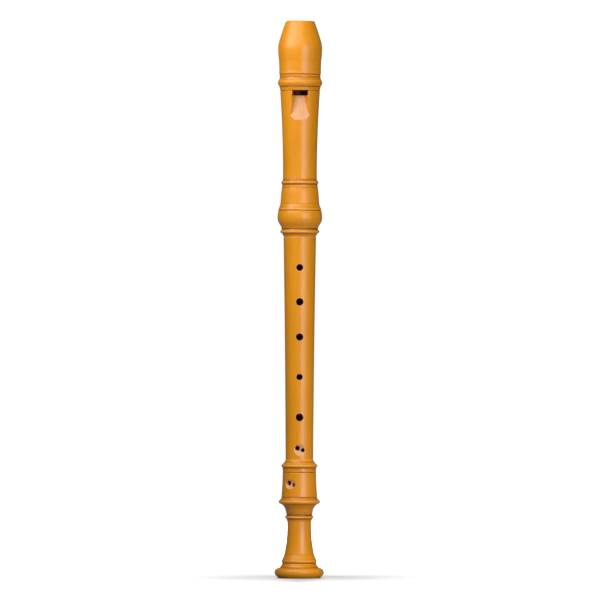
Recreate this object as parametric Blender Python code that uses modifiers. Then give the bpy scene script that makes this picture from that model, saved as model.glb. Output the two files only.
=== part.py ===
"""Soprano recorder: a turned wooden head, middle and foot joint, a block and two tenon corks.

The recorder stands on its bell. Z runs up the bore from the bell's end face to the tip of the beak,
and the window and the finger holes look towards -Y. All dimensions below are in millimetres.
"""
import bmesh
import bpy
from math import asin, atan, cos, pi, radians, sin, sqrt
from mathutils import Matrix, Vector

MM = 0.001
SEGMENTS = 36           # facets around every turned piece
MERGE = 0.00001         # metres, far below the smallest edge
GAP = 0.3               # clearance between neighbouring pieces
OUTSIDE = 16.0          # a distance from the axis that clears every turned surface

# Lengths, as heights above the bell's end face
BEAK_TIP = 325.0
HEAD_END = 199.3        # lower end of the head joint
MIDDLE_SHOULDER = HEAD_END - GAP
FOOT_TOP = 69.0
FOOT_SHOULDER = FOOT_TOP + GAP      # the middle joint's shoulder above the foot

# Upper tenon of the middle joint and its socket in the head joint
SOCKET_TOP = 223.0
SOCKET_RADIUS = 8.2
TENON_RADIUS = 7.85
CORK_RADIUS = SOCKET_RADIUS - GAP
CORK_GROOVE = (203.0, 218.0)
CORK_GROOVE_RADIUS = 6.9

# Lower tenon of the middle joint and its socket in the foot joint
FOOT_SOCKET_FLOOR = 58.2
FOOT_SOCKET_RADIUS = 7.1
FOOT_TENON_RADIUS = 6.75
FOOT_CORK_RADIUS = FOOT_SOCKET_RADIUS - GAP
FOOT_CORK_GROOVE = (61.2, 67.2)
FOOT_CORK_GROOVE_RADIUS = 5.75

# Bore, which narrows from the head towards the foot
HEAD_BORE_RADIUS = 6.0
MIDDLE_BORE_TOP = 5.8
MIDDLE_BORE_END = 4.75
FOOT_BORE_TOP = 4.5
FOOT_BORE_WAIST = 4.4
BELL_MOUTH_RADIUS = 5.6

# Windway, window and ramp
WINDOW_TOP = 284.5
LABIUM_EDGE = 281.4
RAMP_END = 267.2
WINDOW_HALF_WIDTH = 4.6  # at the outer surface
RAMP_HALF_WIDTH = 5.45  # at the ramp's lower end
WINDOW_SURFACE = 11.0   # the outer surface's distance from the axis at the window
WALL_FLARE = 0.35       # the window's side walls close in by this much per unit of depth
WINDWAY_HALF_WIDTH = 3.0
WINDWAY_ROOF_RADIUS = 6.7
LABIUM_RADIUS = 6.45    # distance of the labium's edge from the bore's axis
RAMP_EXIT_RADIUS = 10.4
RAMP_ARCH_RADIUS = 19.0

# Beak: a hollow cut across the back, from the tip down to the barrel
BEAK_CUT_RADIUS = 60.0
BEAK_CUT_TIP = (-1.2, 325.5)        # (y, z) where the cut leaves the tip
BEAK_CUT_FOOT = (12.6, 297.0)       # (y, z) where it runs out on the barrel

# Finger holes: height, diameter
FINGER_HOLES = ((181.1, 3.95), (161.1, 4.3), (140.6, 4.2), (117.3, 3.65), (93.8, 4.4))
THUMB_HOLE = (187.5, 4.4)

# Double holes: angle from the front, height of the scoop around them, the scoop's half width,
# half height and half thickness as an ellipsoid, and each hole's sideways place, height and diameter
LOW_PAIR = (0.0, 74.8, (5.1, 4.0, 3.0), ((-1.1, 75.9, 2.7), (1.9, 74.7, 2.2)))
FOOT_PAIR = (32.5, 54.9, (6.0, 3.4, 3.0), ((-1.55, 55.6, 2.9), (1.6, 54.4, 2.3)))
DISH_DEPTH = 1.2        # how deep each scoop bites below the turned surface

BOXWOOD = (0.66, 0.29, 0.055)
CEDAR = (0.42, 0.17, 0.07)
CORK = (0.48, 0.30, 0.16)


class Outline:
    """A turned outline as (radius, height) points, drawn from one point to the next."""

    def __init__(self, radius, height):
        self.points = [(radius, height)]

    def line(self, radius, height):
        """Straight to a point."""
        self.points.append((radius, height))
        return self

    def arc(self, radius, height, bulge, steps=3):
        """Round to a point; on the way down a positive bulge swells and a negative one hollows."""
        start = Vector(self.points[-1])
        end = Vector((radius, height))
        chord = end - start
        half_angle = 2 * atan(2 * bulge / chord.length)
        arc_radius = chord.length / 2 / sin(half_angle)
        along = chord.normalized()
        outward = Vector((-along.y, along.x))
        centre = (start + end) / 2 - outward * arc_radius * cos(half_angle)
        for step in range(1, steps + 1):
            angle = half_angle * (2 * step / steps - 1)
            point = centre + arc_radius * (outward * cos(angle) + along * sin(angle))
            self.points.append(tuple(point))
        return self

    def ring(self, radius, top, bottom):
        """A thin turned ring with a slightly rounded rim."""
        self.line(radius - 0.2, top)
        self.line(radius, (top + bottom) / 2)
        self.line(radius - 0.2, bottom)
        return self


def new_collection(name):
    collection = bpy.data.collections.new(name)
    bpy.context.scene.collection.children.link(collection)
    return collection


def material(name, colour, roughness):
    """A plain finish: colour, roughness and no metal."""
    finish = bpy.data.materials.new(name)
    finish.use_nodes = True
    shader = finish.node_tree.nodes["Principled BSDF"]
    shader.inputs["Base Color"].default_value = (*colour, 1.0)
    shader.inputs["Roughness"].default_value = roughness
    shader.inputs["Metallic"].default_value = 0.0
    finish.diffuse_color = (*colour, 1.0)
    return finish


def link_mesh(name, mesh, collection, location=(0.0, 0.0, 0.0)):
    piece = bpy.data.objects.new(name, mesh)
    piece.location = location
    collection.objects.link(piece)
    return piece


def turned_piece(name, outline, base, finish, collection):
    """Spin a closed outline about Z. The piece's origin is on the axis, at its lower end."""
    mesh = bpy.data.meshes.new(name)
    points = [(radius * MM, 0.0, (height - base) * MM) for radius, height in outline.points]
    edges = [(index, (index + 1) % len(points)) for index in range(len(points))]
    mesh.from_pydata(points, edges, [])
    mesh.materials.append(finish)
    piece = link_mesh(name, mesh, collection, (0.0, 0.0, base * MM))
    screw = piece.modifiers.new("turning", "SCREW")
    screw.steps = SEGMENTS
    screw.render_steps = SEGMENTS
    screw.use_merge_vertices = True
    screw.merge_threshold = MERGE
    screw.use_smooth_shade = True
    return piece


def cut(piece, cutter):
    boolean = piece.modifiers.new(cutter.name, "BOOLEAN")
    boolean.operation = "DIFFERENCE"
    boolean.solver = "EXACT"
    boolean.object = cutter


def finish_cutter(name, shape, collection):
    """Turn a bmesh into a cutter object that only shows as wires."""
    bmesh.ops.recalc_face_normals(shape, faces=shape.faces)
    mesh = bpy.data.meshes.new(name)
    shape.to_mesh(mesh)
    shape.free()
    cutter = link_mesh(name, mesh, collection)
    cutter.hide_render = True
    cutter.display_type = "WIRE"
    return cutter


def rod_cutter(name, diameter, start, end, collection, segments=16):
    """A round cutter from one point to another."""
    start = Vector(start) * MM
    end = Vector(end) * MM
    direction = end - start
    shape = bmesh.new()
    bmesh.ops.create_cone(shape, cap_ends=True, segments=segments, radius1=diameter / 2 * MM,
                          radius2=diameter / 2 * MM, depth=direction.length)
    turn = Vector((0.0, 0.0, 1.0)).rotation_difference(direction).to_matrix().to_4x4()
    place = Matrix.Translation((start + end) / 2) @ turn
    bmesh.ops.transform(shape, matrix=place, verts=shape.verts)
    return finish_cutter(name, shape, collection)


def windway_cutter(collection):
    """The channel in the beak's roof: an arched section drawn along the bore."""
    steps = 8
    widest = asin(WINDWAY_HALF_WIDTH / WINDWAY_ROOF_RADIUS)
    inside = -HEAD_BORE_RADIUS / 2
    section = [(-WINDWAY_HALF_WIDTH, inside), (WINDWAY_HALF_WIDTH, inside)]
    for step in range(steps + 1):
        angle = widest * (1 - 2 * step / steps)
        section.append((WINDWAY_ROOF_RADIUS * sin(angle), -WINDWAY_ROOF_RADIUS * cos(angle)))
    shape = bmesh.new()
    corners = [shape.verts.new((x * MM, y * MM, (WINDOW_TOP - GAP) * MM)) for x, y in section]
    face = shape.faces.new(corners)
    grown = bmesh.ops.extrude_face_region(shape, geom=[face], use_keep_orig=True)
    moved = [item for item in grown["geom"] if isinstance(item, bmesh.types.BMVert)]
    bmesh.ops.translate(shape, verts=moved, vec=(0.0, 0.0, (BEAK_TIP - WINDOW_TOP + 2.0) * MM))
    return finish_cutter("windway_cutter", shape, collection)


def opening_half_width(z, depth):
    """Half width of the window or ramp at a height and a distance in front of the bore's axis."""
    below = max(0.0, (LABIUM_EDGE - z) / (LABIUM_EDGE - RAMP_END))
    surface_width = WINDOW_HALF_WIDTH + (RAMP_HALF_WIDTH - WINDOW_HALF_WIDTH) * below
    return surface_width + (depth - WINDOW_SURFACE) * WALL_FLARE


def window_cutter(collection):
    """The slot through the front wall, between the block's end and the labium."""
    middle = (WINDOW_TOP + LABIUM_EDGE) / 2
    shape = bmesh.new()
    bmesh.ops.create_cube(shape, size=1.0)
    for corner in shape.verts:
        depth = OUTSIDE if corner.co.y < 0 else HEAD_BORE_RADIUS / 2
        height = middle + corner.co.z * (WINDOW_TOP - LABIUM_EDGE)
        half_width = opening_half_width(LABIUM_EDGE, depth)
        corner.co = (2 * corner.co.x * half_width * MM, -depth * MM, height * MM)
    return finish_cutter("window_cutter", shape, collection)


def ramp_surface(x, z):
    """The ramp's depth: a straight slope up to the labium, arched across."""
    along = (z - RAMP_END) / (LABIUM_EDGE - RAMP_END)
    radius = RAMP_EXIT_RADIUS + (LABIUM_RADIUS - RAMP_EXIT_RADIUS) * along
    return -radius + RAMP_ARCH_RADIUS - sqrt(RAMP_ARCH_RADIUS ** 2 - x ** 2)


def ramp_cutter(collection):
    """The wedge in front of the labium, a little wider at its lower end."""
    top = LABIUM_EDGE + 1.0
    bottom = RAMP_END - 3.0
    shape = bmesh.new()
    bmesh.ops.create_grid(shape, x_segments=6, y_segments=1, size=1.0)
    for corner in shape.verts:
        z = bottom + (top - bottom) * (corner.co.y + 1) / 2
        x = corner.co.x * opening_half_width(z, -ramp_surface(0.0, z))
        corner.co = (x * MM, ramp_surface(x, z) * MM, z * MM)
    grown = bmesh.ops.extrude_face_region(shape, geom=shape.faces[:], use_keep_orig=True)
    for item in grown["geom"]:
        if isinstance(item, bmesh.types.BMVert):
            z = item.co.z / MM
            widen = opening_half_width(z, OUTSIDE) / opening_half_width(z, -ramp_surface(0.0, z))
            item.co.x *= widen
            item.co.y = -OUTSIDE * MM
    return finish_cutter("ramp_cutter", shape, collection)


def beak_cutter(collection):
    """A large cylinder across the back of the beak that hollows it towards the tip."""
    tip = Vector(BEAK_CUT_TIP)
    foot = Vector(BEAK_CUT_FOOT)
    chord = foot - tip
    away = Vector((-chord.y, chord.x)).normalized()
    centre = (tip + foot) / 2 + away * sqrt(BEAK_CUT_RADIUS ** 2 - (chord.length / 2) ** 2)
    reach = 20.0
    return rod_cutter("beak_cutter", 2 * BEAK_CUT_RADIUS, (-reach, *centre), (reach, *centre),
                      collection, segments=96)


def at_angle(angle, sideways, outward, height):
    """A point on the front, turned about Z towards -X."""
    point = Matrix.Rotation(-radians(angle), 3, "Z") @ Vector((sideways, -outward, 0.0))
    return (point.x, point.y, height)


def pair_cutters(name, pair, outer_radius, collection):
    """The scoop of a double hole and its two holes, bored side by side into the bore."""
    angle, height, (half_width, half_height, thickness), holes = pair
    shape = bmesh.new()
    bmesh.ops.create_uvsphere(shape, u_segments=16, v_segments=8, radius=MM)
    away = outer_radius + thickness - DISH_DEPTH
    centre = Vector(at_angle(angle, 0.0, away, height)) * MM
    facing = Matrix.Rotation(-radians(angle), 4, "Z") @ Matrix.Rotation(pi / 2, 4, "X")
    stretch = Matrix.Diagonal((half_width, half_height, thickness, 1.0))
    place = Matrix.Translation(centre) @ facing @ stretch
    bmesh.ops.transform(shape, matrix=place, verts=shape.verts)
    cutters = [finish_cutter(name + "_dish_cutter", shape, collection)]
    for number, (sideways, hole_height, diameter) in enumerate(holes, start=1):
        start = at_angle(angle, sideways, outer_radius + 3.0, hole_height)
        end = at_angle(angle, sideways, 1.0, hole_height)
        cutters.append(rod_cutter(f"{name}_hole_{number}_cutter", diameter, start, end, collection, 12))
    return cutters


def head_outline():
    """Beak, bead above the window, slim barrel, ring, and the swelling over the socket."""
    outline = Outline(7.9, BEAK_TIP).line(8.7, 324.1)
    outline.arc(12.0, 313.9, 0.08, 2).arc(12.8, 309.4, 0.25, 3).arc(12.3, 302.0, 0.15, 2).line(12.1, 294.6)
    outline.line(11.85, 292.8).arc(12.9, 289.8, -0.12, 2).line(12.9, 288.9).line(12.5, 287.9)
    outline.line(11.9, 286.4).line(11.45, WINDOW_TOP)
    outline.arc(9.8, 236.3, -0.36, 5)
    outline.arc(10.0, 232.0, -0.1, 2).ring(10.8, 231.5, 230.1).line(10.35, 229.3)
    outline.line(10.4, 228.0).line(11.25, 218.2).arc(12.3, 215.2, -0.35, 2)
    outline.arc(12.9, 211.0, 0.2, 2).arc(11.5, 206.0, 0.6, 3).arc(10.4, 203.6, -0.15, 2)
    outline.ring(11.4, 203.0, 201.7).line(10.1, 200.8).line(9.5, HEAD_END)
    outline.line(SOCKET_RADIUS, HEAD_END).line(SOCKET_RADIUS, SOCKET_TOP)
    outline.line(HEAD_BORE_RADIUS, SOCKET_TOP).line(HEAD_BORE_RADIUS, BEAK_TIP)
    return outline


def middle_outline():
    """A slim tube that narrows downwards, with a grooved tenon at each end."""
    tenon_top = SOCKET_TOP - GAP
    tenon_end = FOOT_SOCKET_FLOOR + GAP
    chamfer = 0.6
    outline = Outline(TENON_RADIUS - chamfer, tenon_top)
    outline.line(TENON_RADIUS, tenon_top - chamfer).line(TENON_RADIUS, CORK_GROOVE[1])
    outline.line(CORK_GROOVE_RADIUS, CORK_GROOVE[1]).line(CORK_GROOVE_RADIUS, CORK_GROOVE[0])
    outline.line(TENON_RADIUS, CORK_GROOVE[0]).line(TENON_RADIUS, MIDDLE_SHOULDER)
    outline.line(9.3, MIDDLE_SHOULDER).arc(8.0, FOOT_SHOULDER, -0.25, 6)
    outline.line(FOOT_TENON_RADIUS, FOOT_SHOULDER).line(FOOT_TENON_RADIUS, FOOT_CORK_GROOVE[1])
    outline.line(FOOT_CORK_GROOVE_RADIUS, FOOT_CORK_GROOVE[1])
    outline.line(FOOT_CORK_GROOVE_RADIUS, FOOT_CORK_GROOVE[0])
    outline.line(FOOT_TENON_RADIUS, FOOT_CORK_GROOVE[0]).line(FOOT_TENON_RADIUS, tenon_end + chamfer)
    outline.line(FOOT_TENON_RADIUS - chamfer, tenon_end)
    outline.line(MIDDLE_BORE_END, tenon_end).line(MIDDLE_BORE_TOP, tenon_top)
    return outline


def foot_outline():
    """Two rings around the double hole, a slim waist and a spreading bell."""
    outline = Outline(8.1, FOOT_TOP)
    outline.arc(9.4, 66.9, -0.2, 2).ring(10.75, 66.2, 65.0).line(9.8, 64.1)
    outline.line(9.75, 62.0).line(10.0, 52.5).line(10.5, 46.4)
    outline.ring(12.0, 45.5, 43.9).line(11.2, 43.2).line(9.5, 42.5)
    outline.arc(7.3, 37.3, -0.4, 4).ring(8.45, 36.3, 35.0).line(7.0, 34.1)
    outline.arc(9.4, 10.6, -1.1, 7).ring(10.05, 10.2, 9.3).line(9.75, 8.7)
    outline.arc(11.3, 5.8, -0.4, 3)
    outline.arc(14.4, 2.8, 0.8, 4).arc(12.2, 0.3, 0.6, 3).line(9.8, 0.0)
    outline.line(BELL_MOUTH_RADIUS, 0.0).line(4.9, 9.0).line(FOOT_BORE_WAIST, 32.0)
    outline.line(FOOT_BORE_TOP, FOOT_SOCKET_FLOOR).line(FOOT_SOCKET_RADIUS, FOOT_SOCKET_FLOOR)
    outline.line(FOOT_SOCKET_RADIUS, FOOT_TOP)
    return outline


def cork_outline(groove, groove_radius, cork_radius):
    """A flat cork ring that sits in a tenon's groove."""
    low, high = groove
    inside = groove_radius + GAP
    outline = Outline(cork_radius - 0.2, high - GAP)
    outline.line(cork_radius, high - GAP - 0.5).line(cork_radius, low + GAP + 0.5)
    outline.line(cork_radius - 0.2, low + GAP).line(inside, low + GAP).line(inside, high - GAP)
    return outline


def build_head(pieces, cutters, beak):
    finish = material("head_boxwood", BOXWOOD, 0.38)
    head = turned_piece("head_joint", head_outline(), HEAD_END, finish, pieces)
    for cutter in (beak, windway_cutter(cutters), ramp_cutter(cutters), window_cutter(cutters)):
        cut(head, cutter)
    return head


def build_block(pieces, beak):
    finish = material("block_cedar", CEDAR, 0.7)
    radius = HEAD_BORE_RADIUS - GAP
    length = BEAK_TIP - WINDOW_TOP
    shape = bmesh.new()
    bmesh.ops.create_cone(shape, cap_ends=True, segments=SEGMENTS, radius1=radius * MM,
                          radius2=radius * MM, depth=length * MM)
    bmesh.ops.translate(shape, verts=shape.verts, vec=(0.0, 0.0, length / 2 * MM))
    mesh = bpy.data.meshes.new("block")
    shape.to_mesh(mesh)
    shape.free()
    mesh.materials.append(finish)
    block = link_mesh("block", mesh, pieces, (0.0, 0.0, WINDOW_TOP * MM))
    cut(block, beak)
    return block


def build_middle(pieces, cutters):
    finish = material("middle_boxwood", BOXWOOD, 0.4)
    base = FOOT_SOCKET_FLOOR + GAP
    middle = turned_piece("middle_joint", middle_outline(), base, finish, pieces)
    for number, (height, diameter) in enumerate(FINGER_HOLES, start=1):
        cut(middle, rod_cutter(f"finger_hole_{number}_cutter", diameter, (0.0, -12.0, height),
                               (0.0, -1.0, height), cutters))
    height, diameter = THUMB_HOLE
    cut(middle, rod_cutter("thumb_hole_cutter", diameter, (0.0, 12.0, height),
                           (0.0, 1.0, height), cutters))
    for cutter in pair_cutters("low_pair", LOW_PAIR, 8.05, cutters):
        cut(middle, cutter)
    return middle


def build_foot(pieces, cutters):
    finish = material("foot_boxwood", BOXWOOD, 0.4)
    foot = turned_piece("foot_joint", foot_outline(), 0.0, finish, pieces)
    for cutter in pair_cutters("foot_pair", FOOT_PAIR, 9.95, cutters):
        cut(foot, cutter)
    return foot


def build_corks(pieces):
    upper = cork_outline(CORK_GROOVE, CORK_GROOVE_RADIUS, CORK_RADIUS)
    lower = cork_outline(FOOT_CORK_GROOVE, FOOT_CORK_GROOVE_RADIUS, FOOT_CORK_RADIUS)
    upper_finish = material("upper_cork", CORK, 0.9)
    lower_finish = material("lower_cork", CORK, 0.9)
    return [turned_piece("upper_tenon_cork", upper, CORK_GROOVE[0] + GAP, upper_finish, pieces),
            turned_piece("lower_tenon_cork", lower, FOOT_CORK_GROOVE[0] + GAP, lower_finish, pieces)]


def main():
    for old in list(bpy.data.objects):
        bpy.data.objects.remove(old, do_unlink=True)
    pieces = new_collection("soprano_recorder")
    cutters = new_collection("cutters")
    frame = bpy.data.objects.new("recorder_axis", None)
    pieces.objects.link(frame)
    beak = beak_cutter(cutters)
    built = [build_head(pieces, cutters, beak), build_block(pieces, beak),
             build_middle(pieces, cutters), build_foot(pieces, cutters)]
    for piece in built + build_corks(pieces):
        piece.parent = frame


main()
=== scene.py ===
"""Looks of the soprano recorder: fine turned meshes, their finishes, light and camera.

The head, middle and foot are turned again from their outlines, with softened edges, incised lines,
eased finger holes and scooped double holes. The block and the cork rings are turned here as well.
Lengths are millimetres in the frame of the CAD model, except those of the floor, the lights and the
camera, which are metres. Z runs up the bore from the bell's end, and the window looks towards -Y.
"""
from math import asin, atan, atan2, ceil, cos, hypot, pi, radians, sin, sqrt

import bmesh
import bpy
from mathutils import Matrix, Vector
from mathutils.geometry import delaunay_2d_cdt
from mathutils.kdtree import KDTree


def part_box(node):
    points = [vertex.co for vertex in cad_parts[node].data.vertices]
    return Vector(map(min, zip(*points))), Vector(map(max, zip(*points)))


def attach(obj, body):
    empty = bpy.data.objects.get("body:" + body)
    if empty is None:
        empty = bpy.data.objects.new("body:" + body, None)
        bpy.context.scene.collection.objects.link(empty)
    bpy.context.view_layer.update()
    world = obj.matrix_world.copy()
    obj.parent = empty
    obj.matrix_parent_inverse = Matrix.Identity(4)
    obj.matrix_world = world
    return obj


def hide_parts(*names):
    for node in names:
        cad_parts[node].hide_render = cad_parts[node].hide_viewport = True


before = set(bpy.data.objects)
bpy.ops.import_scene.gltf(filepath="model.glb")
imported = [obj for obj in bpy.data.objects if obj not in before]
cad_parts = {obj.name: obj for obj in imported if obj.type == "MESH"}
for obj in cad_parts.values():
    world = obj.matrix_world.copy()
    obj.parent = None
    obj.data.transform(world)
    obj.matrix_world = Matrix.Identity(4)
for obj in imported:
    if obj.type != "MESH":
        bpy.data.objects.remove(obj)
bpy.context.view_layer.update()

MM = 0.001
COLUMNS = 192     # steps around every turned piece
HOLE_STEPS = 48                         # steps around every finger hole

# Turned corners
CORNER = radians(15)                    # an outline that turns by more than this is rounded
EDGE_SOFTNESS = 0.16                    # how far a turned corner is cut back to round it
FORM_REACH = 0.55                       # how far to each side a groove or a rim is looked for
FORM_FULL = 0.24                        # how deep a groove or how proud a rim counts in full
CUT_EDGE = radians(38)                  # cut edges sharper than this aren't shaded smooth


def top_of(node):
    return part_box(node)[1][2] / MM


def foot_of(node):
    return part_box(node)[0][2] / MM


def half_width_of(node):
    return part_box(node)[1][0] / MM


# Heights that the frame gives
BEAK_TIP = top_of("head_joint")
HEAD_END = foot_of("head_joint")
TENON_TOP = top_of("middle_joint")
TENON_END = foot_of("middle_joint")
FOOT_TOP = top_of("foot_joint")
WINDOW_TOP = foot_of("block")
GAP = 0.3                               # clearance between the CAD pieces
SOCKET_TOP = TENON_TOP + GAP
FOOT_SOCKET_FLOOR = TENON_END - GAP

# Radii of what is hidden inside
HEAD_BORE = half_width_of("block") + GAP
BLOCK_RADIUS = HEAD_BORE - 0.07
SOCKET_RADIUS = half_width_of("upper_tenon_cork") + GAP
FOOT_SOCKET_RADIUS = half_width_of("lower_tenon_cork") + GAP
UPPER_CORK_INSIDE = 6.95
LOWER_CORK_INSIDE = 5.8
MIDDLE_BORE_TOP = 5.8
MIDDLE_BORE_END = 4.75
FOOT_BORE = 4.45

# Windway, window and ramp
LABIUM_EDGE = 281.4
RAMP_END = 267.8
WINDOW_HALF_WIDTH = 4.6
WINDOW_SURFACE = 10.0                   # how far in front of the axis the window's sides open
SLOT_FLARE = 0.1                        # how much the slot's side walls close in per unit of depth
RAMP_FLARE = 0.6                        # the same for the ramp's side walls
WINDWAY_HALF_WIDTH = 3.0
WINDWAY_ROOF = 6.7
LABIUM_RADIUS = 6.35
RAMP_EXIT_RADIUS = 10.4
RAMP_ARCH_RADIUS = 10.3
RAMP_ARCH_HALF_WIDTH = 2.7              # the ramp is arched this far across and straight beyond
RAMP_SIDE_SLOPE = 0.08                  # how much it still falls away there, per unit sideways
RAMP_WIDENING = 0.03                    # how much each side widens per unit below the edge
RAMP_SPREAD_TOP = 275.5                 # below this height the ramp widens faster and faster
RAMP_SPREAD = 0.018                     # by this much per squared unit
OUTSIDE = 16.0                          # a distance from the axis that clears every surface

# Hollow cut across the back of the beak, as (y, z) where it starts and ends
BEAK_CUT_RADIUS = 60.0
BEAK_CUT_REACH = 16.0                   # how far to each side its cutter goes
BEAK_CUT_MARGIN = 0.06                  # how far, in radians, it goes beyond both ends
BEAK_CUT_TIP = (-1.2, BEAK_TIP + 0.5)
BEAK_CUT_FOOT = (12.6, BEAK_TIP - 28.0)

# Finger holes: height, diameter
FINGER_HOLES = ((181.1, 3.95), (161.1, 4.3), (140.6, 4.2), (117.3, 3.65), (93.8, 4.4))
THUMB_HOLE = (187.5, 4.4)

# Double holes: each hole's sideways place, height and diameter, and the wall woven anew around them
LOW_PAIR = ((-1.1, 75.9, 2.7), (1.9, 74.7, 2.2))
LOW_PAIR_WINDOW = (70.2, 78.8)
FOOT_PAIR = ((-1.55, 55.6, 2.9), (1.6, 54.4, 2.3))
FOOT_PAIR_WINDOW = (50.7, 58.0)
FOOT_PAIR_TURN = 32.5                   # degrees from the front towards -X
HOLE_MARGIN = 1.7                       # the wall woven anew above and below a finger hole
OUTER_EASING = 0.22                     # how far the rims of holes are rounded outside
INNER_EASING = 0.12                     # and where they meet the bore
SCOOP_BLEND = 0.14                      # how softly a scoop runs out into the wall
SCOOP_BARE = (0.03, 0.16)               # how deep a scoop starts to be bare wood, and is in full
WOVEN_MARGIN = 0.5                      # the wall woven anew to each side of a hole's rim
RING_MARGIN = 0.1                       # wall vertices nearer to a rim than this are left out


# ---------------------------------------------------------------- turned outlines

class Outline:
    """A turned outline, drawn down the outside and up the inside as (radius, height, inside)."""

    def __init__(self, radius, height):
        self.inside = 0
        self.points = [(radius, height, 0)]

    def line(self, radius, height):
        self.points.append((radius, height, self.inside))
        return self

    def arc(self, radius, height, bulge, steps=8):
        """Round to a point; on the way down a positive bulge swells and a negative one hollows."""
        start = Vector(self.points[-1][:2])
        end = Vector((radius, height))
        chord = end - start
        half_angle = 2 * atan(2 * bulge / chord.length)
        arc_radius = chord.length / 2 / sin(half_angle)
        along = chord.normalized()
        outward = Vector((-along.y, along.x))
        centre = (start + end) / 2 - outward * arc_radius * cos(half_angle)
        for step in range(1, steps + 1):
            angle = half_angle * (2 * step / steps - 1)
            point = centre + arc_radius * (outward * cos(angle) + along * sin(angle))
            self.points.append((point.x, point.y, self.inside))
        return self

    def groove(self, radius, height, width=0.55, depth=0.28):
        """A fine incised line around the piece."""
        self.line(radius, height + width / 2)
        self.line(radius - depth, height)
        self.line(radius, height - width / 2)
        return self

    def inward(self):
        """What follows belongs to the bore and the sockets."""
        self.inside = 1
        return self

    def finished(self, coarse, fine, windows):
        """The closed outline with soft corners, in fine steps in windows and coarse ones elsewhere.

        The inside, which is hardly seen, has steps three times as coarse.
        """
        borders = sorted(height for window in windows for height in window)
        soft = soften(self.points)
        points = []
        for number, start in enumerate(soft):
            end = soft[(number + 1) % len(soft)]
            low, high = sorted((start[1], end[1]))
            stops = [start[1], *[height for height in borders if low < height < high], end[1]]
            stops[1:-1] = sorted(stops[1:-1], reverse=end[1] < start[1])
            rise = end[1] - start[1]
            for first, second in zip(stops, stops[1:]):
                middle = (first + second) / 2
                within = any(bottom <= middle <= top for bottom, top in windows)
                longest = fine if within else coarse * (1 + 2 * start[2])
                share_1 = (first - start[1]) / rise if rise else 0.0
                share_2 = (second - start[1]) / rise if rise else 1.0
                length = hypot(end[0] - start[0], rise) * (share_2 - share_1)
                pieces = max(1, ceil(length / longest))
                for piece in range(pieces):
                    share = share_1 + (share_2 - share_1) * piece / pieces
                    points.append((start[0] + (end[0] - start[0]) * share,
                                   start[1] + rise * share, start[2]))
        return points


def soften(points):
    """Round every sharp corner of a closed outline."""
    soft = []
    count = len(points)
    for number, point in enumerate(points):
        here = Vector(point[:2])
        before = Vector(points[number - 1][:2]) - here
        after = Vector(points[(number + 1) % count][:2]) - here
        if before.length < 1e-6 or after.length < 1e-6:
            continue
        turn = pi - before.angle(after)
        if turn < CORNER:
            soft.append(point)
            continue
        back = min(EDGE_SOFTNESS, before.length * 0.45)
        forth = min(EDGE_SOFTNESS, after.length * 0.45)
        start = here + before.normalized() * back
        end = here + after.normalized() * forth
        for share in (0.0, 0.25, 0.5, 0.75, 1.0):
            spot = start * (1 - share) ** 2 + here * 2 * share * (1 - share) + end * share ** 2
            soft.append((spot.x, spot.y, point[2]))
    return soft


def hollowness(points):
    """For each point of a closed outline, +1 in a groove or inside corner and -1 on a rim."""
    count = len(points)
    places = [Vector(point[:2]) for point in points]

    def walk(number, step):
        left = FORM_REACH
        while left > 0:
            following = (number + step) % count
            length = (places[following] - places[number]).length
            if length >= left:
                return places[number].lerp(places[following], left / length)
            left -= length
            number = following
        return places[number]

    found = []
    for number, place in enumerate(places):
        ahead = walk(number, 1)
        behind = walk(number, -1)
        along = (ahead - behind).normalized()
        outward = Vector((-along.y, along.x))
        rise = ((ahead + behind) / 2 - place).dot(outward)
        found.append(max(-1.0, min(1.0, rise / FORM_FULL)))
    return found


def head_outline():
    """Beak, bead above the window, slim barrel, ring, and the swelling over the socket."""
    outline = Outline(7.6, BEAK_TIP)
    outline.arc(8.65, BEAK_TIP - 0.95, 0.2, 5).arc(11.9, 314.2, 0.06)
    outline.arc(12.85, 309.0, 0.2).arc(12.35, 302.0, 0.1).arc(12.1, 296.4, -0.02, 4)
    outline.arc(12.22, 294.5, -0.02, 4).groove(12.02, 293.7, 0.5, 0.26)
    outline.arc(11.84, 292.2, 0.01, 3).arc(12.8, 289.9, -0.16).arc(12.9, 288.6, 0.1, 5)
    outline.arc(12.35, 287.15, 0.1, 5).groove(11.95, 286.5, 0.4, 0.14).arc(11.7, 285.2, -0.05, 4)
    outline.groove(11.55, 284.3, 0.4, 0.16).arc(9.85, 236.3, -0.36, 40)
    outline.arc(9.93, 232.6, -0.03, 5).arc(10.87, 231.15, -0.2).arc(10.87, 230.45, 0.1, 4)
    outline.line(10.4, 229.9).line(10.3, 229.3).line(10.4, 228.6).groove(10.46, 227.9, 0.5, 0.1)
    outline.arc(11.0, 223.0, 0.08).line(11.35, 218.4).arc(12.05, 216.1, -0.06).line(12.5, 215.5)
    outline.groove(12.55, 214.5, 0.5, 0.26).arc(13.02, 210.9, 0.1).arc(11.55, 206.0, 0.48, 14)
    outline.arc(10.58, 203.9, -0.1).line(10.62, 203.6).arc(11.4, 202.55, -0.1, 5)
    outline.arc(11.35, 201.6, 0.1, 4).line(10.5, 201.05).line(10.1, 200.5)
    outline.arc(9.65, 199.6, -0.06).line(9.55, HEAD_END)
    outline.inward()
    outline.line(SOCKET_RADIUS + 0.3, HEAD_END).line(SOCKET_RADIUS, HEAD_END + 0.5)
    outline.line(SOCKET_RADIUS, SOCKET_TOP).line(HEAD_BORE, SOCKET_TOP).line(HEAD_BORE, BEAK_TIP)
    return outline


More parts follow.
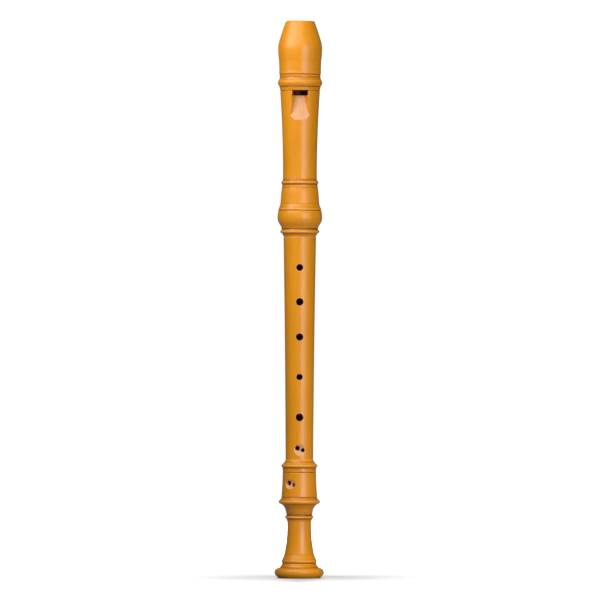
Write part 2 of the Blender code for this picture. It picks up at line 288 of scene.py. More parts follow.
def middle_outline():
    """A slim tube that narrows downwards, with a grooved tenon at each end."""
    tenon = SOCKET_RADIUS - 0.35
    foot_tenon = FOOT_SOCKET_RADIUS - 0.35
    outline = Outline(tenon - 0.8, TENON_TOP)
    outline.line(tenon, TENON_TOP - 0.8).line(tenon, 218.0).line(6.9, 218.0).line(6.9, 203.0)
    shoulder = HEAD_END - 0.04
    outline.line(tenon, 203.0).line(tenon, shoulder + 0.25).line(tenon - 0.15, shoulder)
    outline.line(9.25, shoulder).line(9.5, shoulder - 0.25).arc(8.05, FOOT_TOP + 0.04, -0.2, 60)
    outline.line(foot_tenon, FOOT_TOP + 0.04).line(foot_tenon, 67.2).line(5.75, 67.2)
    outline.line(5.75, 61.2).line(foot_tenon, 61.2).line(foot_tenon, TENON_END + 0.7)
    outline.line(foot_tenon - 0.7, TENON_END)
    outline.inward()
    outline.line(MIDDLE_BORE_END + 0.3, TENON_END).line(MIDDLE_BORE_END, TENON_END + 0.4)
    outline.line(MIDDLE_BORE_TOP, TENON_TOP - 0.4).line(MIDDLE_BORE_TOP + 0.3, TENON_TOP)
    return outline


def foot_outline():
    """Two rings around the double hole, a slim waist and a spreading bell."""
    outline = Outline(8.05, FOOT_TOP)
    outline.line(8.25, FOOT_TOP - 0.2).arc(9.5, 66.9, -0.2).arc(10.45, 66.0, -0.06, 4)
    outline.arc(10.45, 65.1, 0.14, 5).line(9.95, 64.55).line(9.78, 64.0).groove(9.75, 61.8)
    outline.line(9.8, 57.2).arc(10.38, 48.0, -0.06, 12).groove(10.45, 47.3, 0.55, 0.22)
    outline.arc(10.9, 46.1, -0.08).arc(11.85, 45.2, -0.08, 4).arc(11.9, 44.0, 0.14, 5)
    outline.line(11.3, 43.4).arc(9.7, 42.5, -0.16).arc(7.95, 39.4, -0.28, 14)
    outline.groove(7.75, 38.3, 0.4, 0.14).groove(7.5, 37.2, 0.4, 0.14).line(7.48, 36.6)
    outline.arc(8.2, 35.9, -0.06, 4).arc(8.2, 35.2, 0.12, 4).line(7.5, 34.6).line(7.3, 34.0)
    outline.arc(7.15, 32.6, -0.04, 5).arc(8.68, 13.8, -0.62, 40).arc(10.02, 10.5, -0.03)
    outline.arc(10.2, 9.6, 0.2, 5).groove(10.05, 8.75, 0.5, 0.28).arc(11.35, 6.2, -0.15)
    outline.line(12.1, 5.85).arc(14.4, 3.2, 0.75, 14).arc(13.3, 1.2, 0.25, 6).arc(10.8, 0.0, 0.3, 8)
    outline.inward()
    outline.line(6.0, 0.0).arc(5.2, 1.5, -0.25, 6).arc(4.4, 30.0, 0.15, 12)
    outline.line(FOOT_BORE, FOOT_SOCKET_FLOOR).line(FOOT_SOCKET_RADIUS, FOOT_SOCKET_FLOOR)
    outline.line(FOOT_SOCKET_RADIUS, FOOT_TOP - 0.5).line(FOOT_SOCKET_RADIUS + 0.3, FOOT_TOP)
    return outline


def block_outline():
    """The plug before the beak is cut: a plain cylinder, chamfered where the windway leaves it."""
    outline = Outline(0.0, BEAK_TIP)
    outline.line(BLOCK_RADIUS, BEAK_TIP).line(BLOCK_RADIUS, WINDOW_TOP + 0.5)
    outline.line(BLOCK_RADIUS - 0.35, WINDOW_TOP).line(0.0, WINDOW_TOP)
    return outline


def cork_outline(node, inner_radius):
    """A cork ring, compressed a little at its edges."""
    low, high, radius = foot_of(node), top_of(node), half_width_of(node) + 0.08
    outline = Outline(radius - 0.3, high)
    outline.arc(radius, high - 1.1, 0.08, 5).line(radius, low + 1.1).arc(radius - 0.3, low, 0.08, 5)
    outline.inward()
    outline.line(inner_radius, low).line(inner_radius, high)
    return outline


# ---------------------------------------------------------------- turned meshes with bored holes

class Scoop:
    """The hollow carved around a double hole: part of an ellipsoid in front of the wall."""

    def __init__(self, height, half_width, half_height, thickness, wall_radius, depth):
        self.height = height
        self.half_width = half_width
        self.half_height = half_height
        self.thickness = thickness
        self.middle = wall_radius + thickness - depth

    def surface(self, sideways, height):
        """How far in front of the axis the hollow lies, or None beside it."""
        across = sideways / self.half_width
        along = (height - self.height) / self.half_height
        rest = 1 - across ** 2 - along ** 2
        return self.middle - self.thickness * sqrt(rest) if rest > 0 else None


def soft_minimum(first, second):
    """The smaller of two depths, rounded where they cross."""
    overlap = max(SCOOP_BLEND - abs(first - second), 0.0)
    return min(first, second) - overlap ** 2 / (4 * SCOOP_BLEND)


def smooth_share(value, low, high):
    """0 up to low and 1 from high on, with a soft rise between them."""
    share = max(0.0, min(1.0, (value - low) / (high - low)))
    return share * share * (3 - 2 * share)


def around_hole(side, up, radius):
    """The places around a hole, as (sideways, height)."""
    angles = [2 * pi * step / HOLE_STEPS for step in range(HOLE_STEPS)]
    return [(side + radius * cos(angle), up + radius * sin(angle)) for angle in angles]


class Turning:
    """A turned piece: a row of vertices for each outline point, a column for each step around.

    coarse is its longest step along the outline, and fine the longest in the given windows. The
    vertices say how far they lie in a groove or on a rim (form), are bare wood, or are inside.
    """

    def __init__(self, outline, coarse, fine=None, windows=()):
        self.points = outline.finished(coarse, fine or coarse, windows)
        self.shape = bmesh.new()
        layers = self.shape.verts.layers.float
        self.form = layers.new("form")
        self.bare = layers.new("bare")
        self.inside = layers.new("inside")
        self.opened = set()
        forms = hollowness(self.points)
        self.grid = []
        for (radius, height, inside), form in zip(self.points, forms):
            row = []
            for column in range(COLUMNS):
                angle = 2 * pi * column / COLUMNS
                vertex = self.vertex(radius * cos(angle), radius * sin(angle), height)
                vertex[self.form] = form
                vertex[self.inside] = inside
                row.append(vertex)
            self.grid.append(row)

    def vertex(self, x, y, z):
        return self.shape.verts.new((x * MM, y * MM, z * MM))

    def rows(self, wall, low, high):
        """Row numbers of one wall, 0 outside and 1 inside, between two heights."""
        return [number for number, (_, height, inside) in enumerate(self.points)
                if inside == wall and low <= height <= high]

    def radius_at(self, height, rows):
        """The wall's radius at a height, from the given rows."""
        for first, second in zip(rows, rows[1:]):
            low, high = sorted((self.points[first][1], self.points[second][1]))
            if low <= height <= high and high > low:
                radius_1, height_1, _ = self.points[first]
                radius_2, height_2, _ = self.points[second]
                share = (height - height_1) / (height_2 - height_1)
                return radius_1 + share * (radius_2 - radius_1)
        raise ValueError(f"no wall at {height}")

    def ring(self, facing, hole, rim, depth_at, bare, inside):
        """Vertices around a hole, rim beyond its edge, as far from the axis as depth_at says."""
        side, up, size = hole
        vertices = []
        for sideways, height in around_hole(side, up, size / 2 + rim):
            spot = Vector((sideways, -depth_at(sideways, height), height))
            vertex = self.shape.verts.new(facing @ spot * MM)
            vertex[self.bare] = bare
            vertex[self.inside] = inside
            vertices.append(vertex)
        return vertices

    def bore(self, turn, holes, window, scoop=None):
        """Bore round holes, given as (sideways, height, diameter), from outside into the bore.

        turn is the direction they look, in degrees from the front towards -X, and window is the
        (low, high) stretch of the walls that is woven anew around them.
        """
        walls = []
        for wall, rim in ((0, OUTER_EASING), (1, INNER_EASING)):
            rows = self.rows(wall, *window)
            reach = max(abs(side) + size / 2 + rim for side, _, size in holes) + WOVEN_MARGIN
            if wall == 0 and scoop:
                reach = scoop.half_width
            hollow = scoop if wall == 0 else None
            walls.append(self.weave(turn, holes, rows, reach, rim, hollow))
        for hole, outer, inner in zip(holes, *walls):
            self.line_hole(turn, hole, outer, inner)

    def columns_facing(self, turn, spread):
        """The columns within an angle of a direction, as (angle from it, number) across it."""
        direction = 1.5 * pi - radians(turn)
        columns = []
        for column in range(COLUMNS):
            angle = (2 * pi * column / COLUMNS - direction + pi) % (2 * pi) - pi
            if abs(angle) <= spread:
                columns.append((angle, column))
        return sorted(columns)

    def weave(self, turn, holes, rows, reach, rim, scoop):
        """Join the wall's grid to a ring around each hole, and return each ring with its wall."""
        facing = Matrix.Rotation(-radians(turn), 3, "Z")
        narrowest = min(self.points[row][0] for row in rows)
        columns = self.columns_facing(turn, asin(min(0.98, reach / narrowest)))

        def front(sideways, height):
            radius = self.radius_at(height, rows)
            flat = sqrt(max(radius ** 2 - sideways ** 2, 0.0))
            hollow = scoop.surface(sideways, height) if scoop else None
            return flat if hollow is None else soft_minimum(flat, hollow)

        flat_points = []
        vertices = []
        ring_of = []
        for row in rows:
            radius, height, _ = self.points[row]
            for angle, column in columns:
                sideways = radius * sin(angle)
                edge = row in (rows[0], rows[-1]) or column in (columns[0][1], columns[-1][1])
                near = any(hypot(sideways - side, height - up) < size / 2 + rim + RING_MARGIN
                           for side, up, size in holes)
                if near and not edge:
                    continue
                vertex = self.grid[row][column]
                if scoop and not edge:
                    forward = front(sideways, height)
                    vertex.co = facing @ Vector((sideways, -forward, height)) * MM
                    depth = sqrt(radius ** 2 - sideways ** 2) - forward
                    vertex[self.bare] = smooth_share(depth, *SCOOP_BARE)
                flat_points.append(Vector((angle * narrowest, height)))
                vertices.append(vertex)
                ring_of.append(-1)
        edges = []
        rings = []
        for number, hole in enumerate(holes):
            side, up, size = hole
            bare = 1.0 if scoop else 0.35
            ring = self.ring(facing, hole, rim, front, bare, self.points[rows[0]][2])
            for sideways, height in around_hole(side, up, size / 2 + rim):
                around = asin(sideways / self.radius_at(height, rows))
                flat_points.append(Vector((around * narrowest, height)))
            first = len(vertices)
            edges += [(first + step, first + (step + 1) % HOLE_STEPS) for step in range(HOLE_STEPS)]
            vertices += ring
            ring_of += [number] * HOLE_STEPS
            rings.append(ring)
        _, _, faces, origins, _, _ = delaunay_2d_cdt(flat_points, edges, [], 0, 1e-6, True)
        for face in faces:
            corners = [origins[corner][0] for corner in face]
            owners = {ring_of[corner] for corner in corners}
            if len(owners) == 1 and owners != {-1}:
                continue
            self.shape.faces.new([vertices[corner] for corner in corners])
        for row in rows[:-1]:
            for _, column in columns[:-1]:
                self.opened.add((row, column))
        return [(ring, front) for ring in rings]

    def line_hole(self, turn, hole, outer, inner):
        """The wall of one hole: an eased rim, a straight bore, and a small easing inside."""
        facing = Matrix.Rotation(-radians(turn), 3, "Z")
        outer_ring, outer_front = outer
        inner_ring, inner_front = inner
        outer_steps, inner_steps = 5, 3
        rim_bare, wall_bare = 0.8, 0.6
        rings = [outer_ring]
        for step in range(1, outer_steps + 1):
            angle = pi / 2 * step / outer_steps
            drop = OUTER_EASING * (1 - cos(angle))
            rings.append(self.ring(facing, hole, OUTER_EASING * (1 - sin(angle)),
                                   lambda x, z: outer_front(x, z) - drop, rim_bare, 0.0))
        # down the wall the inside share rises, so the hole darkens with depth: painted shade
        for share in (0.15, 0.3, 0.5, 0.75):
            rings.append(self.ring(facing, hole, 0.0,
                                   lambda x, z: (outer_front(x, z) - OUTER_EASING) * (1 - share)
                                   + (inner_front(x, z) + INNER_EASING) * share,
                                   wall_bare * (1 - share), share))
        for step in range(inner_steps):
            angle = pi / 2 * (1 - step / inner_steps)
            rise = INNER_EASING * (1 - cos(angle))
            rings.append(self.ring(facing, hole, INNER_EASING * (1 - sin(angle)),
                                   lambda x, z: inner_front(x, z) + rise, 0.0, 1.0))
        rings.append(inner_ring)
        for upper, lower in zip(rings, rings[1:]):
            for step in range(HOLE_STEPS):
                following = (step + 1) % HOLE_STEPS
                self.shape.faces.new((upper[step], upper[following], lower[following], lower[step]))

    def mesh(self, name):
        """The closed mesh, once every hole is bored."""
        rows = len(self.grid)
        for row in range(rows):
            lower = (row + 1) % rows
            for column in range(COLUMNS):
                if (row, column) in self.opened:
                    continue
                following = (column + 1) % COLUMNS
                self.shape.faces.new((self.grid[row][column], self.grid[lower][column],
                                      self.grid[lower][following], self.grid[row][following]))
        loose = [vertex for vertex in self.shape.verts if not vertex.link_faces]
        bmesh.ops.delete(self.shape, geom=loose, context="VERTS")
        bmesh.ops.remove_doubles(self.shape, verts=self.shape.verts, dist=1e-7)
        bmesh.ops.recalc_face_normals(self.shape, faces=self.shape.faces)
        mesh = bpy.data.meshes.new(name)
        self.shape.to_mesh(mesh)
        self.shape.free()
        mesh.shade_smooth()
        return mesh


# ---------------------------------------------------------------- cutters of the head and block

def link(name, mesh):
    piece = bpy.data.objects.new(name, mesh)
    bpy.context.scene.collection.objects.link(piece)
    return piece


def grid_solid(name, across, along, near, far, finish_near, finish_rest):
    """A closed block between two sheets, each given as a function of two shares from 0 to 1.

    across and along are the numbers of its steps. The near sheet has a finish of its own.
    """
    shape = bmesh.new()
    sheets = []
    for sheet in (near, far):
        sheets.append([[shape.verts.new(Vector(sheet(i / across, j / along)) * MM)
                        for j in range(along + 1)] for i in range(across + 1)])
    front, back = sheets

    def face(*corners):
        return shape.faces.new(corners)

    for i in range(across):
        for j in range(along):
            face(front[i][j], front[i + 1][j], front[i + 1][j + 1], front[i][j + 1])
            face(back[i][j], back[i][j + 1], back[i + 1][j + 1], back[i + 1][j]).material_index = 1
    for i in range(across):
        for j in (0, along):
            face(front[i][j], front[i + 1][j], back[i + 1][j], back[i][j]).material_index = 1
    for j in range(along):
        for i in (0, across):
            face(front[i][j], front[i][j + 1], back[i][j + 1], back[i][j]).material_index = 1
    bmesh.ops.recalc_face_normals(shape, faces=shape.faces)
    mesh = bpy.data.meshes.new(name)
    shape.to_mesh(mesh)
    shape.free()
    mesh.materials.append(finish_near)
    mesh.materials.append(finish_rest)
    mesh.shade_smooth()
    return link(name, mesh)


def opening_half_width(height, depth, flare):
    """Half width of the window or ramp at a height and a distance in front of the bore's axis."""
    widening = RAMP_WIDENING * max(0.0, LABIUM_EDGE - height)
    spread = RAMP_SPREAD * max(0.0, RAMP_SPREAD_TOP - height) ** 2
    return WINDOW_HALF_WIDTH + widening + spread + (depth - WINDOW_SURFACE) * flare


def window_cutter(wood):
    """The slot between the labium's edge and the end of the windway."""
    def sheet(depth):
        half_width = opening_half_width(LABIUM_EDGE, depth, SLOT_FLARE)

        def place(i, j):
            height = LABIUM_EDGE + (WINDOW_TOP - LABIUM_EDGE) * j
            return ((2 * i - 1) * half_width, -depth, height)

        return place

    return grid_solid("window_cutter", 4, 4, sheet(HEAD_BORE / 2), sheet(OUTSIDE), wood, wood)


def ramp_cutter(bare, wood):
    """The wedge in front of the labium: a straight slope, arched across, with flared sides."""
    bottom, top = RAMP_END - 3.0, LABIUM_EDGE + 1.0

    def ramp_depth(x, height):
        along = (height - RAMP_END) / (LABIUM_EDGE - RAMP_END)
        radius = RAMP_EXIT_RADIUS + (LABIUM_RADIUS - RAMP_EXIT_RADIUS) * along
        arched = min(abs(x), RAMP_ARCH_HALF_WIDTH)
        drop = RAMP_ARCH_RADIUS - sqrt(RAMP_ARCH_RADIUS ** 2 - arched ** 2)
        return radius - drop - RAMP_SIDE_SLOPE * (abs(x) - arched)

    def floor(i, j):
        height = bottom + (top - bottom) * j
        x = (2 * i - 1) * opening_half_width(height, ramp_depth(0.0, height), RAMP_FLARE)
        return (x, -ramp_depth(x, height), height)

    def outside(i, j):
        height = bottom + (top - bottom) * j
        return ((2 * i - 1) * opening_half_width(height, OUTSIDE, RAMP_FLARE), -OUTSIDE, height)

    return grid_solid("ramp_cutter", 32, 48, floor, outside, bare, wood)


def windway_cutter(wood):
    """The channel in the beak's roof, arched across and running out of the tip."""
    low, high = WINDOW_TOP - 0.2, BEAK_TIP + 2.0
    widest = asin(WINDWAY_HALF_WIDTH / WINDWAY_ROOF)

    def roof(i, j):
        angle = widest * (2 * i - 1)
        height = low + (high - low) * j
        return (WINDWAY_ROOF * sin(angle), -WINDWAY_ROOF * cos(angle), height)

    def inner(i, j):
        return ((2 * i - 1) * WINDWAY_HALF_WIDTH, -HEAD_BORE / 2, low + (high - low) * j)

    return grid_solid("windway_cutter", 16, 20, roof, inner, wood, wood)


def beak_cutter(wood):
    """The hollow across the back of the beak, from the tip down to the barrel."""
    start = Vector(BEAK_CUT_TIP)
    end = Vector(BEAK_CUT_FOOT)
    chord = end - start
    away = Vector((-chord.y, chord.x)).normalized()
    centre = (start + end) / 2 + away * sqrt(BEAK_CUT_RADIUS ** 2 - (chord.length / 2) ** 2)
    first = atan2(start.y - centre.y, start.x - centre.x) % (2 * pi)
    last = atan2(end.y - centre.y, end.x - centre.x) % (2 * pi)
    back, up = 30.0, 15.0

    def hollow(i, j):
        angle = first - BEAK_CUT_MARGIN + (last - first + 2 * BEAK_CUT_MARGIN) * j
        return ((2 * i - 1) * BEAK_CUT_REACH, centre.x + BEAK_CUT_RADIUS * cos(angle),
                centre.y + BEAK_CUT_RADIUS * sin(angle))

    def behind(i, j):
        x, y, z = hollow(i, j)
        return (x, y + back, z + up)

    return grid_solid("beak_cutter", 40, 72, hollow, behind, wood, wood)


def cut(piece, cutters):
    """Cut the cutters out of the piece, remove them, and return its new mesh."""
    for cutter in cutters:
        boolean = piece.modifiers.new(cutter.name, "BOOLEAN")
        boolean.operation = "DIFFERENCE"
        boolean.solver = "EXACT"
        boolean.material_mode = "TRANSFER"
        boolean.object = cutter
    evaluated = piece.evaluated_get(bpy.context.evaluated_depsgraph_get())
    piece.data = bpy.data.meshes.new_from_object(evaluated)
    piece.modifiers.clear()
    for cutter in cutters:
        bpy.data.objects.remove(cutter)
    return piece.data


def shade_cut(mesh):
    mesh.shade_smooth()
    mesh.set_sharp_from_angle(angle=CUT_EDGE)


# ---------------------------------------------------------------- finishes

class Finish:
    """A material, with short ways to add its nodes. Wavelengths are millimetres."""

    def __init__(self, name):
        self.material = bpy.data.materials.new(name)
        self.material.use_nodes = True
        self.tree = self.material.node_tree
        self.shader = self.tree.nodes["Principled BSDF"]
        self.place = self.add("ShaderNodeTexCoord").outputs["Object"]

    def add(self, kind, inputs=None, **settings):
        node = self.tree.nodes.new(kind)
        for name, value in settings.items():
            setattr(node, name, value)
        for name, value in (inputs or {}).items():
            self.feed(node.inputs[name], value)
        return node

    def feed(self, socket, value):
        if isinstance(value, bpy.types.NodeSocket):
            self.tree.links.new(value, socket)
        else:
            socket.default_value = value

    def scaled(self, wavelengths, shift=0.0):
        """The place on the piece in units of the wavelengths, moved on by the shift."""
        factors = [1 / (MM * wavelength) for wavelength in wavelengths]
        node = self.add("ShaderNodeVectorMath", operation="MULTIPLY_ADD")
        self.feed(node.inputs[0], self.place)
        node.inputs[1].default_value = factors
        node.inputs[2].default_value = (shift, shift * 0.7, shift * 1.3)
        return node.outputs[0]

    def noise(self, wavelengths, detail=3.0, roughness=0.5, distortion=0.0, shift=0.0):
        place = self.scaled(wavelengths, shift)
        node = self.add("ShaderNodeTexNoise", {"Vector": place, "Scale": 1.0, "Detail": detail,
                                               "Roughness": roughness, "Distortion": distortion})
        return node.outputs["Fac"]

    def cells(self, wavelengths, feature="F1"):
        place = self.scaled(wavelengths)
        return self.add("ShaderNodeTexVoronoi", {"Vector": place, "Scale": 1.0}, feature=feature)

    def math(self, operation, first, second=0.0, third=0.0, clamp=False):
        node = self.add("ShaderNodeMath", operation=operation, use_clamp=clamp)
        for socket, value in zip(node.inputs, (first, second, third)):
            self.feed(socket, value)
        return node.outputs[0]

    def spread(self, value, low, high, new_low=0.0, new_high=1.0):
        node = self.add("ShaderNodeMapRange", {"Value": value, "From Min": low, "From Max": high,
                                               "To Min": new_low, "To Max": new_high})
        return node.outputs["Result"]

    def mix(self, share, first, second):
        node = self.add("ShaderNodeMix", data_type="RGBA")
        colour_a, colour_b = node.inputs[6], node.inputs[7]
        self.feed(node.inputs["Factor"], share)
        self.feed(colour_a, first)
        self.feed(colour_b, second)
        return node.outputs[2]

    def attribute(self, name):
        return self.add("ShaderNodeAttribute", attribute_name=name).outputs["Fac"]

    def bump(self, height, distance):
        node = self.add("ShaderNodeBump", {"Height": height, "Distance": distance * MM,
                                           "Strength": 1.0})
        self.feed(self.shader.inputs["Normal"], node.outputs["Normal"])


def rgb(red, green, blue):
    """A colour given as it looks on a screen, 0 to 255, as Blender's linear colour."""
    def linear(value):
        share = value / 255
        return share / 12.92 if share <= 0.04045 else ((share + 0.055) / 1.055) ** 2.4
    return (linear(red), linear(green), linear(blue), 1.0)


def boxwood(name, bare_share=None, inside_share=None):
    """Boxwood stained honey under a satin oil varnish, pale where bare and red-brown inside.

    The red-brown inside is partly oiled bore and partly painted shade. Grooves and inside corners
    get painted shade with a little pooled stain, and rims a painted highlight with a little wear.
    The mesh says where it is bare, inside or grooved, unless a share is given for the whole finish.
    """
    wood = Finish(name)
    bare = wood.attribute("bare") if bare_share is None else bare_share
    inside = wood.attribute("inside") if inside_share is None else inside_share
    form = wood.attribute("form")

    clouds = wood.noise((16.0, 16.0, 34.0), roughness=0.55)
    streaks = wood.noise((1.1, 1.1, 26.0), roughness=0.6, distortion=0.4)
    fibres = wood.noise((0.32, 0.32, 7.0), detail=2.0, roughness=0.6, shift=3.1)
    pores = wood.noise((0.22, 0.22, 1.6), detail=1.0, shift=7.7)

    tone = wood.math("MULTIPLY_ADD", clouds, 0.75, -0.375)
    tone = wood.math("MULTIPLY_ADD", wood.math("SUBTRACT", streaks, 0.5), 0.55, tone)
    tone = wood.math("MULTIPLY_ADD", wood.math("SUBTRACT", fibres, 0.5), 0.3, tone)
    share = wood.math("ADD", tone, 0.5, clamp=True)
    stained = wood.mix(share, rgb(195, 118, 4), rgb(224, 148, 16))
    fresh = wood.mix(share, rgb(198, 141, 97), rgb(217, 166, 121))

    specks = wood.spread(pores, 0.66, 0.76)
    stained = wood.mix(wood.math("MULTIPLY", specks, 0.35), stained, rgb(128, 66, 12))
    # painted shade: grooves and inside corners are darkened, a little as stain pooled there and
    # mostly as the shade beneath beads and rings
    groove = wood.spread(form, 0.03, 0.6)
    stained = wood.mix(wood.math("MULTIPLY", groove, 0.88), stained, rgb(104, 44, 0))
    # painted highlight: rims are lightened as where light catches them, with a little wear
    rim = wood.spread(form, -0.25, -1.0)
    stained = wood.mix(wood.math("MULTIPLY", rim, 0.5), stained, rgb(250, 178, 84))

    colour = wood.mix(bare, stained, fresh)
    # painted shade: the bore and the deeper hole walls turn red-brown, partly as oiled wood and
    # partly for the shade inside
    colour = wood.mix(inside, colour, rgb(170, 60, 32))
    wood.feed(wood.shader.inputs["Base Color"], colour)

    roughness = wood.spread(wood.math("ADD", streaks, fibres), 0.6, 1.4, 0.38, 0.5)
    roughness = wood.math("MULTIPLY_ADD", bare, 0.2, roughness)
    wood.feed(wood.shader.inputs["Roughness"], roughness)
    wood.shader.inputs["Specular IOR Level"].default_value = 0.2
    wood.shader.inputs["Coat Weight"].default_value = 0.0 if bare_share else 0.52
    wood.shader.inputs["Coat Roughness"].default_value = 0.32
    relief = wood.math("MULTIPLY_ADD", specks, -0.5, wood.math("ADD", fibres, streaks))
    wood.bump(relief, 0.02)
    return wood.material


def cedar(name):
    """The block's cedar: reddish, straight-grained and unvarnished."""
    wood = Finish(name)
    bands = wood.noise((0.9, 5.0, 60.0), detail=2.0, distortion=0.3)
    fibres = wood.noise((0.25, 0.25, 6.0), detail=2.0, roughness=0.6, shift=5.0)
    share = wood.spread(bands, 0.35, 0.65)
    colour = wood.mix(share, rgb(178, 104, 66), rgb(216, 146, 98))
    colour = wood.mix(wood.spread(fibres, 0.5, 0.75, 0.0, 0.4), colour, rgb(132, 70, 42))
    wood.feed(wood.shader.inputs["Base Color"], colour)
    wood.feed(wood.shader.inputs["Roughness"], wood.spread(fibres, 0.3, 0.7, 0.55, 0.75))
    wood.bump(fibres, 0.03)
    return wood.material


def cork(name):
    """Cork rings: pale grains packed tight, with dark pits."""
    bark = Finish(name)
    grain = (0.9, 0.9, 0.7)
    grains = bark.cells(grain)
    seams = bark.cells(grain, "DISTANCE_TO_EDGE").outputs["Distance"]
    pits = bark.noise((0.7, 0.7, 0.5), roughness=0.6, shift=9.0)
    clouds = bark.noise((4.0, 4.0, 4.0), detail=2.0)
    tint = bark.add("ShaderNodeSeparateColor", {"Color": grains.outputs["Color"]}).outputs[0]
    share = bark.math("MULTIPLY_ADD", clouds, 0.5, bark.math("MULTIPLY", tint, 0.5), clamp=True)
    colour = bark.mix(share, rgb(170, 118, 72), rgb(222, 176, 124))
    colour = bark.mix(bark.spread(seams, 0.07, 0.0, 0.0, 0.45), colour, rgb(112, 70, 40))
    colour = bark.mix(bark.spread(pits, 0.62, 0.72, 0.0, 0.8), colour, rgb(78, 44, 24))
    bark.feed(bark.shader.inputs["Base Color"], colour)
    bark.shader.inputs["Roughness"].default_value = 0.85
    height = bark.math("SUBTRACT", bark.spread(seams, 0.0, 0.12), bark.spread(pits, 0.6, 0.72))
    bark.bump(height, 0.06)
    return bark.material


# ---------------------------------------------------------------- the pieces

def build_head(stained, bare, bore):
    around_window = (264.0, 290.0)
    over_windway = (296.0, BEAK_TIP)
    turning = Turning(head_outline(), coarse=0.9, fine=0.5, windows=(around_window, over_windway))
    head = link("head", turning.mesh("head"))
    head.data.materials.append(stained)
    mesh = cut(head, [window_cutter(stained), ramp_cutter(bare, stained), windway_cutter(bore),
                      beak_cutter(stained)])
    mark_outline(mesh, turning.points)
    shade_cut(mesh)
    return head


def mark_outline(mesh, outline):
    """Write which vertices lie in a groove and which inside, for a mesh whose cuts lost it.

    A vertex farther from the outline than near was made by a cutter.
    """
    near = 0.35
    forms = hollowness(outline)
    tree = KDTree(len(outline))
    for number, (radius, height, _) in enumerate(outline):
        tree.insert((radius, height, 0.0), number)
    tree.balance()
    values = {"form": [], "inside": [], "bare": []}
    for vertex in mesh.vertices:
        x, y, z = vertex.co / MM
        _, number, distance = tree.find((hypot(x, y), z, 0.0))
        on_outline = distance < near
        values["form"].append(forms[number] if on_outline else 0.0)
        values["inside"].append(float(outline[number][2]) if on_outline else 0.0)
        values["bare"].append(0.0)
    for name, numbers in values.items():
        attribute = mesh.attributes.get(name)
        if attribute is not None:
            mesh.attributes.remove(attribute)
        attribute = mesh.attributes.new(name, "FLOAT", "POINT")
        attribute.data.foreach_set("value", numbers)


def build_block(wood):
    turning = Turning(block_outline(), coarse=0.6)
    block = link("block", turning.mesh("block"))
    block.data.materials.append(wood)
    shade_cut(cut(block, [beak_cutter(wood)]))
    return block


def build_middle(stained):
    holes = [(0.0, up, size) for up, size in (*FINGER_HOLES, THUMB_HOLE)]
    turns = [0.0] * len(FINGER_HOLES) + [180.0]
    windows = [(up - size / 2 - HOLE_MARGIN, up + size / 2 + HOLE_MARGIN) for _, up, size in holes]
    turning = Turning(middle_outline(), coarse=1.0, fine=0.3, windows=[*windows, LOW_PAIR_WINDOW])
    for turn, hole, window in zip(turns, holes, windows):
        turning.bore(turn, [hole], window)
    scoop = Scoop(height=74.8, half_width=5.1, half_height=4.0, thickness=3.0, wall_radius=8.05,
                  depth=1.2)
    turning.bore(0.0, LOW_PAIR, LOW_PAIR_WINDOW, scoop)
    middle = link("middle", turning.mesh("middle"))
    middle.data.materials.append(stained)
    return middle


def build_foot(stained):
    turning = Turning(foot_outline(), coarse=0.9, fine=0.3, windows=[FOOT_PAIR_WINDOW])
    scoop = Scoop(height=54.9, half_width=6.0, half_height=3.4, thickness=3.0, wall_radius=9.95,
                  depth=1.2)
    turning.bore(FOOT_PAIR_TURN, FOOT_PAIR, FOOT_PAIR_WINDOW, scoop)
    foot = link("foot", turning.mesh("foot"))
    foot.data.materials.append(stained)
    return foot


def build_cork(name, node, inner_radius, finish):
    turning = Turning(cork_outline(node, inner_radius), coarse=0.5)
    ring = link(name, turning.mesh(name))
    ring.data.materials.append(finish)
    return ring


# ---------------------------------------------------------------- floor, light and camera

def seen_or_lit(tree, seen, lit):
    """A strength that is one value for the camera and another for the light it gives the object."""
    path = tree.nodes.new("ShaderNodeLightPath")
    strength = tree.nodes.new("ShaderNodeMapRange")
    strength.inputs["To Min"].default_value = lit
    strength.inputs["To Max"].default_value = seen
    tree.links.new(path.outputs["Is Camera Ray"], strength.inputs["Value"])
    return strength.outputs["Result"]


def build_floor():
    """A pale floor that glows white farther away, so that it runs into the background.
    Near the base the glow fades, which paints a soft shadow around it over the real contact shadow.
    """
    half = 15.0
    mesh = bpy.data.meshes.new("floor")
    mesh.from_pydata([(-half, -half, 0), (half, -half, 0), (half, half, 0), (-half, half, 0)], [],
                     [(0, 1, 2, 3)])
    paper = Finish("pale_paper")
    paper.feed(paper.shader.inputs["Base Color"], seen_or_lit(paper.tree, seen=0.7, lit=0.23))
    paper.shader.inputs["Roughness"].default_value = 0.9
    paper.shader.inputs["Specular IOR Level"].default_value = 0.0
    paper.shader.inputs["Emission Color"].default_value = (1.0, 1.0, 1.0, 1.0)
    away = paper.add("ShaderNodeVectorMath", {0: paper.place}, operation="LENGTH").outputs["Value"]
    # painted shadow: no glow within a few centimetres of the base, full glow from 20 cm out
    painted_shadow_inner, painted_shadow_outer = 0.03, 0.2
    glow_past_painted_shadow = paper.spread(away, painted_shadow_inner, painted_shadow_outer)
    seen = seen_or_lit(paper.tree, seen=1.0, lit=0.0)
    paper.feed(paper.shader.inputs["Emission Strength"], paper.math("MULTIPLY", glow_past_painted_shadow, seen))
    mesh.materials.append(paper.material)
    floor = link("floor", mesh)


def area_light(name, place, aim, width, height, power, glossy=True):
    """A soft box of so many watts, unseen by the camera; glossy says if gloss reflects it."""
    light = bpy.data.lights.new(name, "AREA")
    light.shape = "RECTANGLE"
    light.size = width
    light.size_y = height
    light.energy = power
    lamp = bpy.data.objects.new(name, light)
    lamp.location = place
    lamp.visible_camera = False
    lamp.visible_glossy = glossy
    lamp.rotation_euler = (Vector(aim) - Vector(place)).to_track_quat("-Z", "Y").to_euler()
    bpy.context.scene.collection.objects.link(lamp)


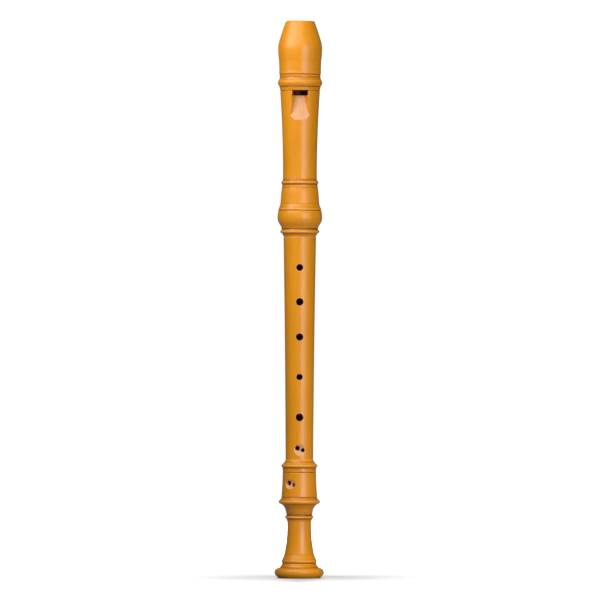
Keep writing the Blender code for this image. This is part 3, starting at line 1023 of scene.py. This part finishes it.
def build_light():
    """A white backdrop that lights little, four soft lights in front, three close, one behind."""
    world = bpy.data.worlds.new("studio")
    world.use_nodes = True
    bpy.context.scene.world = world
    tree = world.node_tree
    background = tree.nodes["Background"]
    background.inputs["Color"].default_value = (1.0, 1.0, 1.0, 1.0)
    tree.links.new(seen_or_lit(tree, seen=1.05, lit=0.08), background.inputs["Strength"])
    middle = (0.0, 0.0, 0.2)
    head = (0.0, 0.0, 0.29)
    area_light("broad_light", (-0.25, -0.45, 0.62), middle, 0.7, 0.5, 2.7)
    area_light("strip_light", (0.5, -1.1, 0.12), middle, 0.55, 0.95, 11.2)
    area_light("side_light", (0.95, -0.85, 0.12), middle, 0.45, 0.95, 2.2)
    area_light("top_light", (0.1, -0.25, 1.3), middle, 0.6, 0.6, 2.8)
    area_light("head_light", (-0.2, -0.12, 0.4), head, 0.16, 0.16, 0.42)
    area_light("brow_light", (0.0, -0.3, 0.5), head, 0.3, 0.16, 0.1)
    area_light("low_light", (0.12, -0.2, 0.03), (0.0, 0.0, 0.03), 0.1, 0.05, 0.1)
    area_light("back_light", (0.0, 1.2, 0.5), middle, 0.3, 0.8, 18.0, glossy=False)


def build_camera():
    """A long lens, level with the recorder's middle and leaning a very little."""
    distance = 5.0
    seen_width = 0.3495
    sideways = -0.0001
    lean = radians(0.11)
    data = bpy.data.cameras.new("camera")
    data.angle = 2 * atan(seen_width / 2 / distance)
    data.clip_end = 50.0
    camera = bpy.data.objects.new("camera", data)
    camera.matrix_world = (Matrix.Translation((sideways, -distance, BEAK_TIP * MM / 2))
                           @ Matrix.Rotation(-lean, 4, "Y") @ Matrix.Rotation(pi / 2, 4, "X"))
    bpy.context.scene.collection.objects.link(camera)
    bpy.context.scene.camera = camera


def main():
    stained = boxwood("boxwood_stained")
    bare = boxwood("boxwood_bare", bare_share=1.0, inside_share=0.0)
    # the bore's finish: its red-brown is partly oiled wood and partly painted shade
    bore = boxwood("boxwood_bore", bare_share=0.0, inside_share=1.0)
    rings = cork("cork_rings")
    pieces = (
        (build_head(stained, bare, bore), "head", "head_joint", "boxwood"),
        (build_block(cedar("cedar_block")), "block", "block", "cedar"),
        (build_middle(stained), "middle", "middle_joint", "boxwood"),
        (build_foot(stained), "foot", "foot_joint", "boxwood"),
        (build_cork("upper_cork", "upper_tenon_cork", UPPER_CORK_INSIDE, rings),
         "upper_cork", "upper_tenon_cork", "cork"),
        (build_cork("lower_cork", "lower_tenon_cork", LOWER_CORK_INSIDE, rings),
         "lower_cork", "lower_tenon_cork", "cork"),
    )
    for piece, body, node, slot in pieces:
        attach(piece, body)
        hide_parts(node)
    build_floor()
    build_light()
    build_camera()
    bpy.context.scene.view_settings.view_transform = "Standard"


main()
